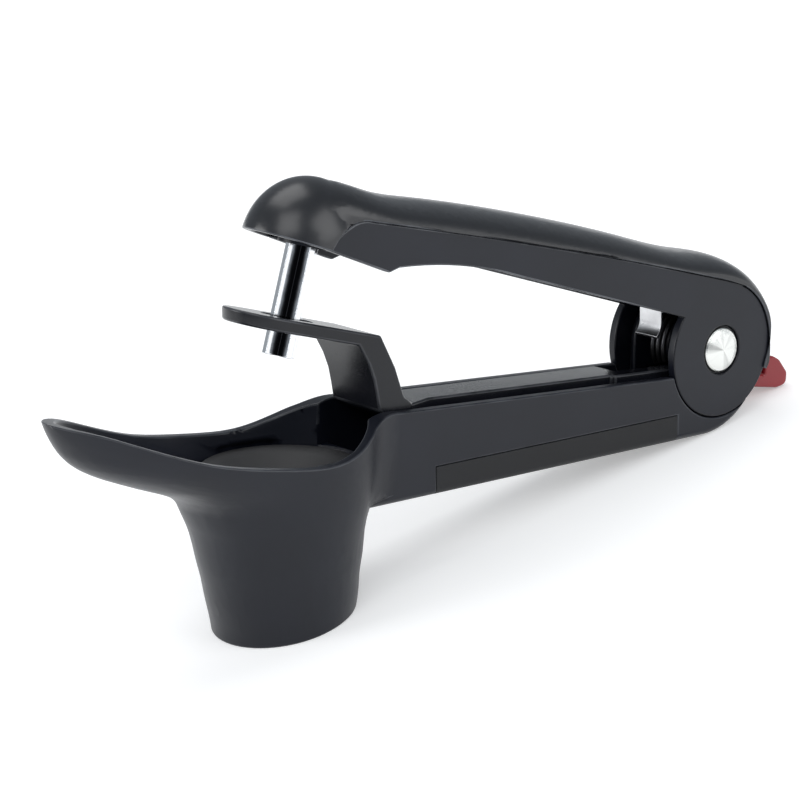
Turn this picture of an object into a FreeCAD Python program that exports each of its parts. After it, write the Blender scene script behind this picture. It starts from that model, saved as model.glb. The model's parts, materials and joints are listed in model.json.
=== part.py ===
import FreeCAD, Part
import math
import os
import Sketcher
from FreeCAD import Matrix, Placement, Rotation, Vector

# A one-hand cherry pitter. Every piece is drawn in the tool's own frame: X runs from the cup to the hinge,
# Y across, Z up along the cup, with the cup's axis at x = 0. The whole tool is then leant about Y, so that
# it stands on the oblique mouth of its cup and on its tail, with the origin at the middle of the cup's mouth.

os.makedirs("parts", exist_ok=True)
doc = FreeCAD.newDocument("CherryPitter")
sheet = doc.addObject("Spreadsheet::Sheet", "Sizes")

SIZES = {
    # hinge
    "pivot_x": 120.3,
    "pivot_z": 41.3,
    "pin_radius": 3.0,
    "pin_head_radius": 5.25,
    "pin_head_dome": 1.5,
    "pin_recess_radius": 5.86,
    "pin_recess_depth": 1.0,
    "running_gap": 0.05,
    "part_gap": 0.3,
    "knuckle_radius": 16.0,
    "cheek": 2.2,
    "lug": 1.6,
    "lug_radius": 11.5,
    "washer": 0.4,
    "washer_radius": 6.0,
    # lower handle
    "half_width": 10.9,
    "wall": 2.2,
    "floor": 1.7,
    "handle_top_front": 42.4,
    "handle_top_back": 36.9,
    "handle_bottom_front": 22.4,
    "tail_x": 115.6,
    "tail_z": 40.8,
    "tail_radius": 19.6,
    "tail_wall": 2.2,
    "edge_round": 1.8,
    "pocket_front": 18.6,
    "pocket_back": 31.0,
    "grip_front": 33.0,
    "grip_back": 106.0,
    "grip_height": 6.4,
    "grip_wall": 1.6,
    # cup and scoop
    "cup_mouth_radius": 15.3,
    "cup_flare": 0.1165,
    "cup_wall": 2.0,
    "ledge_height": 27.5,
    "ledge": 1.6,
    "ledge_radius": 13.4,
    "scoop_half_width": 19.3,
    "scoop_length": 51.5,
    "scoop_centre": -3.0,
    "scoop_back": 2.0,
    "scoop_wall": 2.3,
    "shoulder_round": 20.0,
    "shoulder_bite": 0.08,
    # cherry seat
    "seat_height": 5.0,
    "seat_hole_radius": 6.8,
    "seat_dish": 3.2,
    "seat_lip": 2.0,
    # lever
    "lever_skin": 2.0,
    "cover_half_width": 11.6,
    "cover_skirt": 0.8,
    "head_x": 6.9,
    "head_z": 77.95,
    "head_lean": 20.5,
    "head_length": 13.6,
    "head_half_width": 11.8,
    "head_height": 14.3,
    "head_wall": 1.8,
    # punch
    "rod_lean": 16.6,
    "rod_back": 0.3,
    "rod_width": 7.5,
    "rod_flange": 1.4,
    "rod_length": 27.6,
    "rod_socket": 4.6,
    "holder_length": 16.0,
    "holder_width": 10.0,
    "holder_plate": 2.0,
    "holder_collar_radius": 5.2,
    "holder_collar": 3.0,
    "holder_screw_pitch": 11.6,
    "screw_radius": 0.8,
    "screw_head_radius": 1.5,
    "screw_head": 0.9,
    "screw_length": 4.5,
    # hold-down arm
    "arm_half_width": 8.2,
    "arm_plate": 2.8,
    "arm_bar": 2.6,
    "arm_bar_half_width": 5.0,
    "arm_knuckle_radius": 7.4,
    "arm_slot_length": 11.4,
    "arm_slot_width": 8.3,
    "arm_side": 6.2,
    "arm_inner": 1.7,
    # leaf under the lever, over the arm
    "leaf_thickness": 0.8,
    "leaf_width": 7.0,
    "leaf_shift": -0.8,
    "leaf_x": 106.4,
    "leaf_foot_z": 44.6,
    "leaf_curl": 4.0,
    "leaf_flange": 7.0,
    "leaf_rivet_radius": 1.0,
    "leaf_rivet_head": 1.7,
    # return spring and its bush
    "spring_wire": 1.3,
    "spring_radius": 8.1,
    "spring_pitch": 1.74,
    "spring_turns": 3,
    "spring_start": -0.8,
    "spring_lower_angle": 292.0,
    "spring_upper_angle": 60.0,
    "spring_lower_leg": 21.0,
    "spring_upper_leg": 17.0,
    "bush_radius": 6.7,
    # lock slider
    "slider_x": 136.5,
    "slider_z": 30.6,
    "slider_tilt": 10.0,
    "slider_travel": 4.5,
    "slider_half_width": 5.5,
    "slider_thickness": 3.1,
    "slider_below": 1.9,
    "slider_inner": 6.5,
    "nose_thickness": 1.4,
    "nose_reach": 5.5,
    "window_back": 0.0,
    "slider_fit": 0.15,
    "latch_slot": 1.6,
    "latch_half_width": 1.2,
    "latch_room": 0.2,
    "spring_room": 0.65,
    "keeper_length": 4.8,
    "keeper_bridge": 0.9,
    "keeper_thickness": 1.2,
    "keeper_screw_inset": 1.3,
    "close_angle": 15.0,
}

for row, (name, number) in enumerate(SIZES.items(), start=1):
    sheet.set(f"A{row}", name)
    sheet.set(f"B{row}", str(number))
    sheet.setAlias(f"B{row}", name)
doc.recompute()


class Length:
    """A size with the sheet expression that gives it."""

    def __init__(self, number, text):
        self.number = number
        self.text = text

    def __add__(self, other):
        other = as_length(other)
        return Length(self.number + other.number, f"({self.text} + {other.text})")

    def __sub__(self, other):
        other = as_length(other)
        return Length(self.number - other.number, f"({self.text} - {other.text})")

    def __mul__(self, factor):
        factor = as_length(factor)
        return Length(self.number * factor.number, f"({self.text} * {factor.text})")

    def __neg__(self):
        return Length(-self.number, f"(0 - {self.text})")


def as_length(value):
    return value if isinstance(value, Length) else Length(float(value), f"{float(value)}")


def cell(name):
    return Length(float(sheet.get(name)), f"Sizes.{name}")


def size(name):
    return float(sheet.get(name))


class Frame:
    """Places of the tool that several pieces share, worked out from the sheet."""

    tail_reach = math.hypot(size("tail_x"), size("tail_z"))
    lean_angle = math.degrees(
        math.atan2(size("tail_z"), size("tail_x")) - math.asin(size("tail_radius") / tail_reach)
    )
    lean = Placement(Vector(0, 0, 0), Rotation(Vector(0, 1, 0), lean_angle))
    pivot = Vector(size("pivot_x"), 0, size("pivot_z"))
    # the near side of the tool is the hinge frame's positive z
    hinge = Placement(pivot, Rotation(Vector(1, 0, 0), 90))
    slider = Placement(
        Vector(size("slider_x"), 0, size("slider_z")),
        Rotation(Vector(0, 1, 0), size("slider_tilt")),
    )
    head = Placement(
        Vector(size("head_x"), 0, size("head_z")),
        Rotation(Vector(0, 1, 0), size("head_lean")),
    )
    rod = Placement(
        Vector(size("head_x") - size("rod_back"), 0, size("head_z")),
        Rotation(Vector(0, 1, 0), size("rod_lean")),
    )
    tool = Placement()
    half_width = size("half_width")
    cheek_inner = half_width - size("cheek")
    lug_outer = cheek_inner - size("washer") - 2 * size("running_gap")
    lug_inner = lug_outer - size("lug")
    knuckle_cut = size("knuckle_radius") + size("part_gap")
    latch_inner = size("spring_radius") + 0.5 * size("spring_wire") + size("spring_room")
    latch_outer = size("knuckle_radius") - size("wall") - size("latch_room")
    mouth_slope = math.tan(math.radians(lean_angle))


PIECES = []


def add_piece(piece, label, placement=Frame.tool):
    """Leans a finished piece with the tool and keeps it for writing."""
    piece.Label = label
    piece.Placement = Frame.lean.multiply(placement)
    PIECES.append(piece)
    return piece


def solid_piece(shape, label, placement=Frame.tool):
    feature = doc.addObject("Part::Feature", label)
    feature.Shape = shape
    return add_piece(feature, label, placement)


def origin_plane(body, role):
    return next(item for item in body.Origin.OriginFeatures if item.Role == role)


def new_sketch(body, role, lift=0):
    sketch = body.newObject("Sketcher::SketchObject", f"{body.Name}_sketch")
    sketch.AttachmentSupport = [(origin_plane(body, role), "")]
    sketch.MapMode = "FlatFace"
    sketch.setExpression("AttachmentOffset.Base.z", as_length(lift).text)
    return sketch


def bind(sketch, kind, *where, value):
    """Adds a driving constraint and ties it to the sheet."""
    value = as_length(value)
    index = sketch.addConstraint(Sketcher.Constraint(kind, *where, value.number))
    sketch.setExpression(f"Constraints[{index}]", value.text)


def draw_polygon(sketch, corners):
    corners = [(as_length(across), as_length(up)) for across, up in corners]
    count = len(corners)
    for index, (across, up) in enumerate(corners):
        next_across, next_up = corners[(index + 1) % count]
        start = Vector(across.number, up.number, 0)
        end = Vector(next_across.number, next_up.number, 0)
        sketch.addGeometry(Part.LineSegment(start, end), False)
    for index in range(count):
        sketch.addConstraint(Sketcher.Constraint("Coincident", index, 2, (index + 1) % count, 1))
    for index, (across, up) in enumerate(corners):
        bind(sketch, "DistanceX", -1, 1, index, 1, value=across)
        bind(sketch, "DistanceY", -1, 1, index, 1, value=up)


def draw_circle(sketch, across, up, radius):
    across, up, radius = as_length(across), as_length(up), as_length(radius)
    index = sketch.addGeometry(
        Part.Circle(Vector(across.number, up.number, 0), Vector(0, 0, 1), radius.number), False
    )
    bind(sketch, "Radius", index, value=radius)
    bind(sketch, "DistanceX", -1, 1, index, 3, value=across)
    bind(sketch, "DistanceY", -1, 1, index, 3, value=up)


def new_body(label):
    return doc.addObject("PartDesign::Body", label)


def revolve(body, corners):
    """Turns a half section of radius and height corners about the body's Z axis."""
    sketch = new_sketch(body, "XZ_Plane")
    draw_polygon(sketch, corners)
    turned = body.newObject("PartDesign::Revolution", f"{body.Name}_turned")
    turned.Profile = sketch
    turned.ReferenceAxis = (sketch, ["V_Axis"])
    turned.Angle = 360
    sketch.Visibility = False
    return turned


def turned_piece(label, corners, placement):
    body = new_body(label)
    revolve(body, corners)
    return add_piece(body, label, placement)


def pad_outline(body, corners, low, high, role="XY_Plane"):
    """Pads a polygon from low to high along the plane's normal."""
    sketch = new_sketch(body, role, low)
    draw_polygon(sketch, corners)
    pad = body.newObject("PartDesign::Pad", f"{body.Name}_pad")
    pad.Profile = sketch
    pad.setExpression("Length", (as_length(high) - low).text)
    return pad


def pocket_circles(body, circles):
    """Drills round holes right through a plate along its Z axis, and checks that they cut."""
    doc.recompute()
    before = body.Shape.Volume
    sketch = new_sketch(body, "XY_Plane")
    for across, up, radius in circles:
        draw_circle(sketch, across, up, radius)
    pocket = body.newObject("PartDesign::Pocket", f"{body.Name}_holes")
    pocket.Profile = sketch
    pocket.Type = "ThroughAll"
    pocket.Midplane = True
    doc.recompute()
    if body.Shape.Volume >= before:
        raise RuntimeError(f"the holes of {body.Name} cut nothing")


def box(low_x, high_x, low_y, high_y, low_z, high_z):
    corner = Vector(low_x, low_y, low_z)
    return Part.makeBox(high_x - low_x, high_y - low_y, high_z - low_z, corner)


def across_disc(radius, low_y, high_y, centre=Frame.pivot):
    """A cylinder along Y between two values of y."""
    start = Vector(centre.x, low_y, centre.z)
    return Part.makeCylinder(radius, high_y - low_y, start, Vector(0, 1, 0))


def both_sides(shape):
    return shape.fuse(shape.mirror(Vector(0, 0, 0), Vector(0, 1, 0)))


def line(start, end):
    return Part.LineSegment(start, end).toShape()


def arc(start, middle, end):
    return Part.Arc(start, middle, end).toShape()


def at(x, z, y=0.0):
    return Vector(x, y, z)


def extrude_profile(edges, half_width):
    """Extrudes a closed outline of the XZ plane to both sides of it."""
    face = Part.Face(Part.Wire(edges))
    face.translate(Vector(0, -half_width, 0))
    return face.extrude(Vector(0, 2 * half_width, 0))


def polygon_edges(points):
    return [line(points[index], points[(index + 1) % len(points)]) for index in range(len(points))]


def on_disc(radius, angle, centre=Frame.pivot):
    turn = math.radians(angle)
    return Vector(centre.x + radius * math.cos(turn), 0, centre.z + radius * math.sin(turn))


def closing_turn(shape, angle):
    """Turns a shape about the hinge as the lever does when it closes."""
    turned = shape.copy()
    turned.rotate(Frame.pivot, Vector(0, -1, 0), angle)
    return turned


# Lower handle: cup, scoop, channel handle and hinge lugs in one moulding

TAIL = Vector(size("tail_x"), 0, size("tail_z"))
TOOL_REACH = 200.0


def cup_radius(height):
    return size("cup_mouth_radius") + size("cup_flare") * height


def cup_cone(offset, low, high):
    low_radius = cup_radius(low) - offset
    high_radius = cup_radius(high) - offset
    return Part.makeCone(low_radius, high_radius, high - low, Vector(0, 0, low))


def scoop_ring(front, half_width, back, height):
    """A level closed curve: half ellipse towards the lip, half circle towards the handle."""
    middle = 0.5 * (size("scoop_centre") + size("scoop_back"))
    points = []
    count = 24
    for index in range(count):
        turn = 2 * math.pi * index / count
        reach = back - middle if math.cos(turn) > 0 else middle - front
        points.append(Vector(middle + reach * math.cos(turn), half_width * math.sin(turn), height))
    curve = Part.BSplineCurve()
    curve.interpolate(Points=points, PeriodicFlag=True)
    return Part.Wire(curve.toShape())


# How the cup opens out into the scoop. Level above the seat's ledge, share of the way from the cup's
# radius to the lip, and how far the side and the back still are from the scoop's own width.
SCOOP_LEVELS = [
    (-35.5, 0.0, 4.93, 6.93),
    (-30.5, 0.004, 4.35, 6.35),
    (-25.5, 0.0095, 3.77, 5.77),
    (-20.5, 0.0215, 3.18, 5.18),
    (-15.5, 0.0355, 2.6, 4.6),
    (-10.5, 0.051, 2.0, 4.0),
    (-6.0, 0.073, 1.4, 3.2),
    (-2.5, 0.106, 0.9, 1.8),
    (1.0, 0.150, 0.62, 0.9),
    (4.0, 0.262, 0.42, 0.4),
    (7.0, 0.460, 0.26, 0.15),
    (10.5, 0.685, 0.12, 0.0),
    (14.5, 0.857, 0.03, 0.0),
    (19.5, 0.956, 0.0, 0.0),
    (26.5, 0.992, 0.0, 0.0),
]
HOLLOW_FROM = 8
SHOULDER_FROM = 6


def scoop_station(level, share, side_short, back_short):
    """Height, front reach, half width and back reach of the scoop's outside at one level."""
    height = size("ledge_height") + level
    lip = size("scoop_centre") - size("scoop_length")
    front = -cup_radius(height) + share * (lip + cup_radius(height))
    side = size("scoop_half_width")
    return height, front, side - side_short, size("scoop_back") + side - back_short


def scoop_outside():
    rings = []
    for level in SCOOP_LEVELS:
        height, front, half, back = scoop_station(*level)
        rings.append(scoop_ring(front, half, back, height))
    return Part.makeLoft(rings, True)


def scoop_inside():
    """The scoop's hollow, one wall inside its outer surface."""
    wall = size("scoop_wall")
    stations = [scoop_station(*level) for level in SCOOP_LEVELS]
    rings = []
    for index in range(HOLLOW_FROM, len(stations)):
        height, front, half, back = stations[index]
        under_height, under_front = stations[index - 1][0], stations[index - 1][1]
        slope = math.atan2(height - under_height, under_front - front)
        lifted = height + wall * math.cos(slope)
        rings.append(scoop_ring(front + wall * math.sin(slope), half - wall, back - wall, lifted))
    return Part.makeLoft(rings, True)


def top_limit():
    """Everything under the rim of the scoop and the handle's top edge."""
    front = size("handle_top_front")
    lip_x = size("scoop_centre") - size("scoop_length")
    rim = [
        at(lip_x - 6.0, front + 10.4), at(lip_x + 0.8, front + 8.2), at(lip_x + 6.0, front + 6.8),
        at(lip_x + 13.0, front + 4.1), at(lip_x + 20.5, front + 1.0), at(lip_x + 28.5, front - 1.8),
        at(lip_x + 36.0, front - 3.5), at(lip_x + 46.5, front - 5.2), at(lip_x + 58.0, front - 5.6),
        at(lip_x + 65.2, front - 3.4), at(lip_x + 70.0, front - 1.2), at(lip_x + 78.0, front - 0.3),
    ]
    curve = Part.BSplineCurve()
    curve.interpolate(rim)
    back = at(size("pivot_x"), size("handle_top_back") - 1.0)
    edges = [
        curve.toShape(),
        line(rim[-1], back),
        line(back, at(TOOL_REACH, back.z)),
        line(at(TOOL_REACH, back.z), at(TOOL_REACH, -TOOL_REACH)),
        line(at(TOOL_REACH, -TOOL_REACH), at(rim[0].x, -TOOL_REACH)),
        line(at(rim[0].x, -TOOL_REACH), rim[0]),
    ]
    return extrude_profile(edges, 2 * size("scoop_half_width"))


def handle_floor(x, lift=0.0):
    """Height of the handle's underside at x, plus a lift."""
    low = TAIL.z - size("tail_radius")
    share = (x - size("pocket_front")) / (TAIL.x - size("pocket_front"))
    return size("handle_bottom_front") + share * (low - size("handle_bottom_front")) + lift


def handle_bar(half_width, inset, front):
    """The handle's body between its flat sides, with a round tail, cut back by an inset."""
    tail_radius = size("tail_radius") - inset
    top = size("handle_top_front") + 4.0
    bottom = at(TAIL.x, TAIL.z - tail_radius)
    start = at(front, handle_floor(front, inset))
    tail_end = Vector(TAIL.x + tail_radius, 0, TAIL.z)
    edges = [
        line(start, bottom),
        arc(bottom, on_disc(tail_radius, -45, TAIL), tail_end),
        line(tail_end, at(tail_end.x, top)),
        line(at(tail_end.x, top), at(front, top)),
        line(at(front, top), start),
    ]
    return extrude_profile(edges, half_width)


def rounded_underside(solid, radius):
    """Rounds the two long lower edges of the handle's bar, tail included."""
    edges = []
    for edge in solid.Edges:
        middle = edge.valueAt(0.5 * (edge.FirstParameter + edge.LastParameter))
        at_side = abs(abs(middle.y) - Frame.half_width) < 0.01
        if at_side and middle.z < TAIL.z - 1.0 and middle.x > size("pocket_front"):
            edges.append(edge)
    return solid.makeFillet(radius, edges)


def shoulder_curve(half, back):
    """Centre of the hollow curve between one level's ring and the handle's side, and where it starts."""
    bend = size("shoulder_round")
    bite = size("shoulder_bite")
    middle = 0.5 * (size("scoop_centre") + size("scoop_back"))
    ring = []
    for index in range(181):
        turn = math.radians(0.5 * index)
        ring.append(Vector(middle + (back - middle) * math.cos(turn), half * math.sin(turn), 0))
    near, far = middle, back + bend
    for _ in range(30):
        centre = Vector(0.5 * (near + far), Frame.half_width + bend - bite, 0)
        start = min(ring, key=centre.distanceToPoint)
        if centre.distanceToPoint(start) < bend - bite:
            near = centre.x
        else:
            far = centre.x
    return centre, centre + (start - centre).normalize() * bend


def shoulder_ring(half, back, height):
    """The plan of one shoulder at one level: middle, hollow curve, handle's side."""
    bend = size("shoulder_round")
    centre, start = shoulder_curve(half, back)
    end = centre - Vector(0, bend, 0)
    middle = centre + (0.5 * (start + end) - centre).normalize() * bend
    corner = Vector(centre.x, 0, 0)
    heart = Vector(size("scoop_back"), 0, 0)
    edges = [line(heart, start), arc(start, middle, end), line(end, corner), line(corner, heart)]
    ring = Part.Wire(edges)
    ring.translate(Vector(0, 0, height))
    return ring


def shoulders():
    """Fills the plan between the scoop and the handle with a hollow curve on each side."""
    rings = []
    for level in SCOOP_LEVELS[SHOULDER_FROM:]:
        height, _, half, back = scoop_station(*level)
        rings.append(shoulder_ring(half, back, height))
    lift = size("edge_round") + size("shoulder_bite")
    region = handle_bar(size("scoop_half_width"), lift, 0.0)
    return both_sides(Part.makeLoft(rings, True).common(region))


def grip_region():
    """The band under the handle that the grip takes, ends square to the handle's underside."""
    front, back = size("grip_front"), size("grip_back")
    lift = size("grip_height")
    corners = [
        at(front, handle_floor(front, -5.0)),
        at(back, handle_floor(back, -5.0)),
        at(back, handle_floor(back, lift)),
        at(front, handle_floor(front, lift)),
    ]
    return extrude_profile(polygon_edges(corners), 2 * Frame.half_width)


def grip_core():
    inner = Frame.half_width - size("grip_wall")
    return handle_bar(inner, size("grip_wall"), size("pocket_front"))


def handle_hull():
    bar = handle_bar(Frame.half_width, 0.0, 5.0)
    hull = rounded_underside(bar, size("edge_round"))
    hull = hull.fuse([scoop_outside(), shoulders()]).common(top_limit())
    below_mouth = Part.makeBox(TOOL_REACH, TOOL_REACH, TOOL_REACH)
    below_mouth.translate(Vector(-0.5 * TOOL_REACH, -0.5 * TOOL_REACH, -TOOL_REACH))
    below_mouth.rotate(Vector(0, 0, 0), Vector(0, 1, 0), -Frame.lean_angle)
    return hull.cut(below_mouth)


def slider_box(low_x, high_x, half_width, low_z, high_z):
    """A box in the slider's own frame, centred across the tool."""
    solid = box(low_x, high_x, -half_width, half_width, low_z, high_z)
    solid.Placement = Frame.slider
    return solid


def lower_handle():
    hull = handle_hull()
    channel_half = Frame.cheek_inner - 0.15
    channel_floor = size("floor") + size("grip_wall")
    channel = handle_bar(channel_half, channel_floor, size("pocket_back"))
    tail_hollow = across_disc(
        size("tail_radius") - size("tail_wall"), -channel_half, channel_half, TAIL
    ).common(box(TAIL.x, TOOL_REACH, -channel_half, channel_half, 0, TOOL_REACH))
    pocket_low = handle_floor(size("pocket_front"), size("wall") - 0.2)
    pocket = box(
        size("pocket_front"), size("pocket_back"), -channel_half, channel_half, pocket_low, TOOL_REACH
    )
    throat_low = size("ledge_height") + size("seat_height")
    throat = box(0, size("pocket_back"), -channel_half, channel_half, throat_low, TOOL_REACH)
    bore = cup_cone(size("cup_wall"), -8.0, size("ledge_height") - size("ledge"))
    neck = Part.makeCylinder(size("ledge_radius"), 8.0, Vector(0, 0, size("ledge_height") - 4.0))
    seat_bay = cup_cone(size("cup_wall"), size("ledge_height"), throat_low + 1.0)
    solid = hull.cut([channel.fuse([tail_hollow, pocket, throat]), bore, neck, seat_bay, scoop_inside()])
    # room for the lever's cheeks, then the lugs on which they turn
    cheek_room = across_disc(Frame.knuckle_cut, Frame.lug_outer, 2 * Frame.half_width)
    solid = solid.cut(both_sides(cheek_room))
    inner_room = across_disc(Frame.knuckle_cut, -Frame.lug_outer, Frame.lug_outer)
    solid = solid.cut(inner_room.common(box(0, TOOL_REACH, -50, 50, size("slider_z") + 1.0, TOOL_REACH)))
    lug_foot = box(
        size("pivot_x") - size("lug_radius"), size("pivot_x") + size("lug_radius"),
        Frame.lug_inner, Frame.lug_outer, handle_floor(TAIL.x, 1.0), size("pivot_z"),
    ).common(handle_bar(Frame.half_width, 0.5, size("pocket_back")))
    lug = across_disc(size("lug_radius"), Frame.lug_inner, Frame.lug_outer).fuse(lug_foot)
    solid = solid.fuse(both_sides(lug))
    # bed, slot and side blocks of the lock slider
    fit = size("slider_fit")
    bed_low = -size("slider_below") - fit
    bed_top = bed_low + size("slider_thickness") + 2 * fit
    bed_front = -size("slider_inner") - 2.5
    bed = slider_box(bed_front, 2.0, Frame.lug_outer, -20.0, bed_top)
    bed = bed.common(handle_bar(Frame.lug_outer, 0.5, size("pocket_back")))
    solid = solid.fuse(bed)
    reach = size("slider_inner") + size("slider_travel") + 1.0
    slot = slider_box(-reach, 20.0, size("slider_half_width") + fit, bed_low, 30.0)
    keeper_low = keeper_centre() - 0.5 * size("keeper_length")
    keeper_room = slider_box(
        keeper_low, keeper_low + size("keeper_length"), Frame.lug_outer, keeper_top(), keeper_top() + 5.0
    )
    screws = keeper_screw_shanks()
    pin_hole = across_disc(size("pin_radius"), -TOOL_REACH, TOOL_REACH)
    solid = solid.cut([slot, keeper_room, screws, pin_hole])
    solid = solid.cut(grip_region().cut(grip_core()))
    return solid_piece(solid.removeSplitter(), "lower_handle")


def lower_grip():
    band = handle_hull().common(grip_region()).cut(grip_core())
    return solid_piece(band.removeSplitter(), "lower_grip")


def cherry_seat():
    """A soft ring with a dished top and the hole for the stone."""
    base = cell("ledge_height")
    top = base + cell("seat_height")
    outer = cell("cup_mouth_radius") + cell("cup_flare") * base - cell("cup_wall") - 0.05
    hole = cell("seat_hole_radius")
    corners = [
        (hole, base),
        (outer, base),
        (outer + cell("cup_flare") * cell("seat_height"), top),
        (outer - cell("seat_lip"), top),
        (hole + cell("seat_lip"), top - cell("seat_dish")),
        (hole, top - cell("seat_dish") - 0.4),
    ]
    return turned_piece("cherry_seat", corners, Frame.tool)


# Hinge stack, turned about the pin's axis with the near side at positive z

def hinge_pin():
    """Pin with a domed head: a short shank shoulder, then the head's stepped dome."""
    face = cell("half_width") - cell("pin_recess_depth")
    head = cell("pin_head_radius")
    dome = cell("pin_head_dome")
    end = -(cell("half_width") - cell("pin_recess_depth"))
    shank = cell("pin_radius") - cell("running_gap")
    corners = [
        (0, end),
        (shank, end),
        (shank, face),
        (head, face),
        (head, face + dome * 0.45),
        (head * 0.94, face + dome * 0.66),
        (head * 0.75, face + dome * 0.86),
        (head * 0.45, face + dome * 0.97),
        (0, face + dome),
    ]
    return turned_piece("hinge_pin", corners, Frame.hinge)


def hinge_cap():
    face = -(cell("half_width") - cell("pin_recess_depth"))
    head = cell("pin_head_radius")
    dome = cell("pin_head_dome")
    corners = [
        (0, face),
        (0, face - dome),
        (head * 0.45, face - dome * 0.97),
        (head * 0.75, face - dome * 0.86),
        (head * 0.94, face - dome * 0.66),
        (head, face - dome * 0.45),
        (head, face),
    ]
    return turned_piece("hinge_cap", corners, Frame.hinge)


def hinge_washers():
    """Two thin washers between the lever's cheeks and the lugs."""
    inner = size("pin_radius")
    low = Frame.lug_outer + size("running_gap")
    ring = across_disc(size("washer_radius"), low, low + size("washer"))
    ring = ring.cut(across_disc(inner, 0, TOOL_REACH))
    mirrored = ring.mirror(Vector(0, 0, 0), Vector(0, 1, 0))
    return solid_piece(Part.makeCompound([ring, mirrored]), "hinge_washers")


def spring_bush():
    """Plastic bush on the pin, inside the spring's coil."""
    bore = cell("pin_radius")
    outer = cell("bush_radius")
    lug_inner = cell("half_width") - cell("cheek") - cell("washer") - cell("running_gap") * 2 - cell("lug")
    near = -(cell("spring_start") - cell("spring_wire") * 0.5 - 0.2)
    far = -(lug_inner - cell("running_gap"))
    corners = [(bore, far), (outer, far), (outer, near), (bore, near)]
    return turned_piece("spring_bush", corners, Frame.hinge)


def return_spring():
    """One wire: the lower leg, the coil's turns about the pin and the upper leg, as a single swept tube."""
    wire = size("spring_wire")
    radius = size("spring_radius")
    rise = size("spring_pitch") / 360.0
    first = size("spring_lower_angle") - 360.0
    last = size("spring_upper_angle") + 360.0 * round(size("spring_turns"))

    def on_coil(angle):
        turn = math.radians(angle)
        y = size("spring_start") + rise * (angle - first)
        return Vector(radius * math.cos(turn), y, radius * math.sin(turn)) + Frame.pivot

    def along(angle):
        turn = math.radians(angle)
        climb = math.degrees(rise) / radius
        return Vector(-math.sin(turn), climb, math.cos(turn)).normalize()

    lower_end = on_coil(first) - along(first) * size("spring_lower_leg")
    upper_end = on_coil(last) + along(last) * size("spring_upper_leg")
    edges = [line(lower_end, on_coil(first))]
    steps = math.ceil((last - first) / 90.0)
    for step in range(steps):
        start = first + (last - first) * step / steps
        end = first + (last - first) * (step + 1) / steps
        edges.extend(biarc(on_coil(start), along(start), on_coil(end), along(end)))
    edges.append(line(on_coil(last), upper_end))
    spine = Part.Wire(edges)
    ring = Part.Wire(Part.Circle(lower_end, along(first), wire / 2).toShape())
    tube = spine.makePipeShell([ring], True, False)
    gap = coil_gap(on_coil, first, last, wire)
    print(f"return_spring: least gap between its turns {gap:.3f} mm")
    if gap <= 0.4:
        raise RuntimeError("the spring's turns are too close")
    return solid_piece(tube, "return_spring")


def biarc(start, start_way, end, end_way):
    """Two tangent arcs that join two points and their directions."""
    chord = end - start
    ways = start_way + end_way
    a = 2 * (1 - start_way.dot(end_way))
    b = 2 * chord.dot(ways)
    c = -chord.dot(chord)
    reach = (-b + math.sqrt(b * b - 4 * a * c)) / (2 * a)
    first = start + start_way * reach
    last = end - end_way * reach
    joint = (first + last) * 0.5
    return [tangent_arc(start, first, joint), tangent_arc(joint, last, end)]


def tangent_arc(start, corner, end):
    """The arc from start to end whose tangents there meet at the corner."""
    in_way = (start - corner).normalize()
    out_way = (end - corner).normalize()
    half = 0.5 * math.acos(max(-1.0, min(1.0, in_way.dot(out_way))))
    reach = (start - corner).Length
    radius = reach * math.tan(half)
    inward = (in_way + out_way).normalize()
    centre = corner + inward * math.hypot(reach, radius)
    return arc(start, centre - inward * radius, end)


def coil_gap(on_coil, first_angle, last_angle, wire):
    """Least clear distance between stretches of the coil that are more than half a turn apart."""
    step = 10.0
    count = int((last_angle - first_angle) / step)
    points = [on_coil(first_angle + step * index) for index in range(count + 1)]
    apart = int(180.0 / step)
    least = min(
        (points[i] - points[j]).Length
        for i in range(count + 1)
        for j in range(i + apart, count + 1)
    )
    return least - wire


# Lever: satin core with its cheeks, glossy cover with the head's dome

def lever_parting():
    """Upper edge of the core's flat side, from the head's rim to the round tail."""
    rim = at(5.7, 78.35)
    shoulder = at(10.9, 82.6)
    front = at(16.6, 83.1)
    back = on_disc(size("knuckle_radius") + 0.4, 66.0)
    return [
        arc(rim, at(7.7, 80.65), shoulder),
        arc(shoulder, at(13.7, 83.42), front),
        arc(front, at(68.0, 71.6), back),
    ], rim, back


def lever_profile(inset):
    """Side outline of the core, moved in at its lower and tail edges by an inset only for the hollow."""
    edges, rim, back = lever_parting()
    tail = size("knuckle_radius") - inset
    tail_top = on_disc(tail, 66.0)
    neck = on_disc(size("knuckle_radius"), 143.5)
    lower = [
        at(20.8, 72.1),
        at(23.4, 72.8),
    ]
    under = [
        line(rim, lower[0]),
        line(lower[0], lower[1]),
        arc(lower[1], at(37.5, 71.6), at(56.0, 67.0)),
        line(at(56.0, 67.0), neck),
        arc(neck, on_disc(tail, 230.0), on_disc(tail, 300.0)),
        arc(on_disc(tail, 300.0), on_disc(tail, 0.0), tail_top),
    ]
    if (tail_top - back).Length > 0.01:
        under.append(line(tail_top, back))
    return edges, under


def lever_side():
    edges, under = lever_profile(0.0)
    return Part.Face(Part.Wire(Part.__sortEdges__(edges + under)))


def lever_block(half_width):
    face = lever_side()
    face.translate(Vector(0, -half_width, 0))
    return face.extrude(Vector(0, 2 * half_width, 0))


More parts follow.
